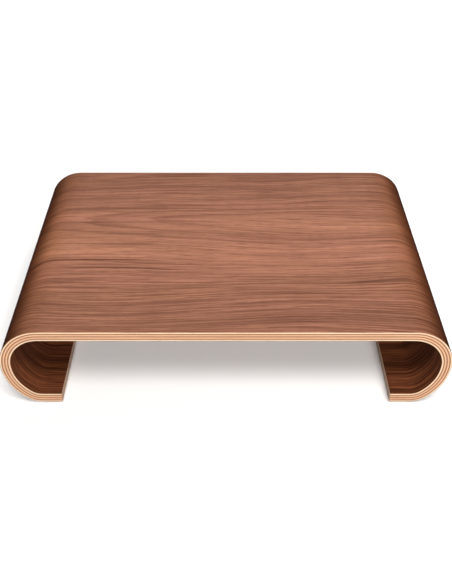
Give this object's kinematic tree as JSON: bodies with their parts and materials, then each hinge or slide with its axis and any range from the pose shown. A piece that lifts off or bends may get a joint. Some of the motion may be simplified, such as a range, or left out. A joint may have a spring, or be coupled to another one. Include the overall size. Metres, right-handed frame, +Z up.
{
  "type": "monitor riser stand",
  "caption": "Low desk riser for a monitor, moulded from one sheet of walnut-faced plywood whose ends roll down and under into flanges on silicone pads.",
  "frame": {"origin": "on the surface it stands on, under the middle of the shelf", "axes": "+X along the width, +Y from the front edge to the back edge, +Z up"},
  "size_m": [0.42, 0.312, 0.085],
  "materials": {
    "walnut_veneer": "satin clear lacquer over straight-grained walnut, grain running across the width",
    "core_long_grain": "sanded and lacquered pale veneer, grain along the width",
    "core_cross_grain": "sanded and lacquered veneer seen end-on, grain from front to back",
    "silicone_pad": "translucent matte silicone"
  },
  "bodies": {
    "root": {"outer_face_veneer": "walnut_veneer", "core_ply_1": "core_long_grain", "core_ply_2": "core_cross_grain", "core_ply_3": "core_long_grain", "core_ply_4": "core_cross_grain", "core_ply_5": "core_long_grain", "core_ply_6": "core_cross_grain", "core_ply_7": "core_long_grain", "inner_face_veneer": "walnut_veneer", "foot_pad_front_left": "silicone_pad", "foot_pad_front_right": "silicone_pad", "foot_pad_rear_left": "silicone_pad", "foot_pad_rear_right": "silicone_pad"}
  },
  "joints": []
}
